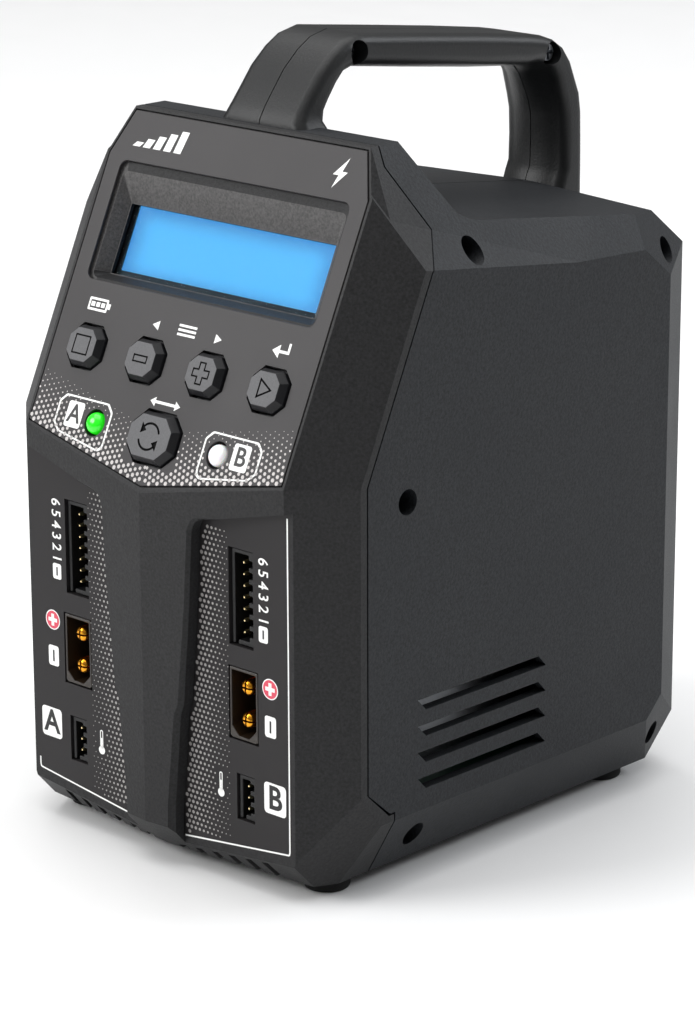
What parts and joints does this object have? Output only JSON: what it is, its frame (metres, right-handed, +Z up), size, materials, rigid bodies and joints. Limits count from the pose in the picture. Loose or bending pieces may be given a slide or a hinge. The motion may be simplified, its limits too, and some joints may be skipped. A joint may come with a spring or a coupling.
{
  "type": "battery charger",
  "caption": "Upright balance battery charger: tilted key panel with a display, two recessed columns of battery ports, side vents and a fixed carry handle.",
  "frame": {"origin": "on the floor under the middle of the bounding box", "axes": "+Z up, +X to the right as seen from the front, -Y out of the front"},
  "size_m": [0.1, 0.1325, 0.1719],
  "materials": {
    "case_plastic": "dark charcoal moulded plastic with a fine spark texture",
    "bezel_plastic": "dark charcoal moulded plastic, satin",
    "overlay_film": "smooth dark grey polycarbonate film, satin",
    "port_plate": "smooth charcoal plate, satin",
    "display_glass": "clear polished window",
    "display_light": "backlit sky blue display",
    "key_rubber": "dark moulded key, satin",
    "green_lens": "green lens, polished",
    "white_lens": "milky white lens, polished",
    "socket_black": "black moulded nylon, satin",
    "tinned_pin": "pale gold plated pins",
    "gold_pin": "gold plated contacts, polished",
    "steel": "plated steel",
    "board_green": "green solder mask board",
    "sink_alloy": "plain extruded alloy",
    "core_steel": "laminated core with yellow taped winding",
    "capacitor_sleeve": "dark blue shrink sleeve",
    "foot_rubber": "black rubber, matt"
  },
  "bodies": {
    "case": {"right_half_shell": "case_plastic", "left_half_shell": "case_plastic", "rear_panel": "case_plastic", "front_bezel": "bezel_plastic", "control_overlay": "overlay_film", "port_panel_a": "port_plate", "port_panel_b": "port_plate", "lcd_window": "display_glass", "lcd_module": "display_light", "light_guide_a": "green_lens", "light_guide_b": "white_lens", "balance_port_a": "socket_black", "output_socket_a": "socket_black", "temp_port_a": "socket_black", "balance_pins_a": "tinned_pin", "temp_pins_a": "tinned_pin", "output_pin_plus_a": "gold_pin", "output_pin_minus_a": "gold_pin", "balance_port_b": "socket_black", "output_socket_b": "socket_black", "temp_port_b": "socket_black", "balance_pins_b": "tinned_pin", "temp_pins_b": "tinned_pin", "output_pin_plus_b": "gold_pin", "output_pin_minus_b": "gold_pin", "ac_inlet": "socket_black", "dc_input_socket": "socket_black", "fan_frame": "socket_black", "dc_pin_plus": "gold_pin", "dc_pin_minus": "gold_pin", "ac_pin_left": "steel", "ac_pin_right": "steel", "usb_port": "steel", "shell_screw_1": "steel", "shell_screw_2": "steel", "shell_screw_3": "steel", "shell_screw_4": "steel", "shell_screw_5": "steel", "handle_screw_1": "steel", "handle_screw_2": "steel", "port_board": "board_green", "main_board": "board_green", "key_board": "board_green", "heat_sink": "sink_alloy", "transformer": "core_steel", "input_capacitor": "capacitor_sleeve", "output_capacitor": "capacitor_sleeve", "foot_right_front": "foot_rubber", "foot_right_rear": "foot_rubber", "foot_left_front": "foot_rubber", "foot_left_rear": "foot_rubber"},
    "stop_key": {"stop_key": "key_rubber"},
    "minus_key": {"minus_key": "key_rubber"},
    "plus_key": {"plus_key": "key_rubber"},
    "start_key": {"start_key": "key_rubber"},
    "channel_key": {"channel_key": "key_rubber"},
    "fan_rotor": {"fan_rotor": "socket_black"}
  },
  "joints": [
    {"name": "stop_key_press", "type": "slide", "parent": "case", "child": "stop_key", "axis": [0, 0.9063, -0.4226], "range_m": [0, 0.0008], "stiffness_N_per_m": 500},
    {"name": "minus_key_press", "type": "slide", "parent": "case", "child": "minus_key", "axis": [0, 0.9063, -0.4226], "range_m": [0, 0.0008], "stiffness_N_per_m": 500},
    {"name": "plus_key_press", "type": "slide", "parent": "case", "child": "plus_key", "axis": [0, 0.9063, -0.4226], "range_m": [0, 0.0008], "stiffness_N_per_m": 500},
    {"name": "start_key_press", "type": "slide", "parent": "case", "child": "start_key", "axis": [0, 0.9063, -0.4226], "range_m": [0, 0.0008], "stiffness_N_per_m": 500},
    {"name": "channel_key_press", "type": "slide", "parent": "case", "child": "channel_key", "axis": [0, 0.9063, -0.4226], "range_m": [0, 0.0008], "stiffness_N_per_m": 500},
    {"name": "fan_spin", "type": "hinge", "parent": "case", "child": "fan_rotor", "pos_m": [0, 0.05145, 0.086], "axis": [0, 1, 0], "continuous": true}
  ]
}
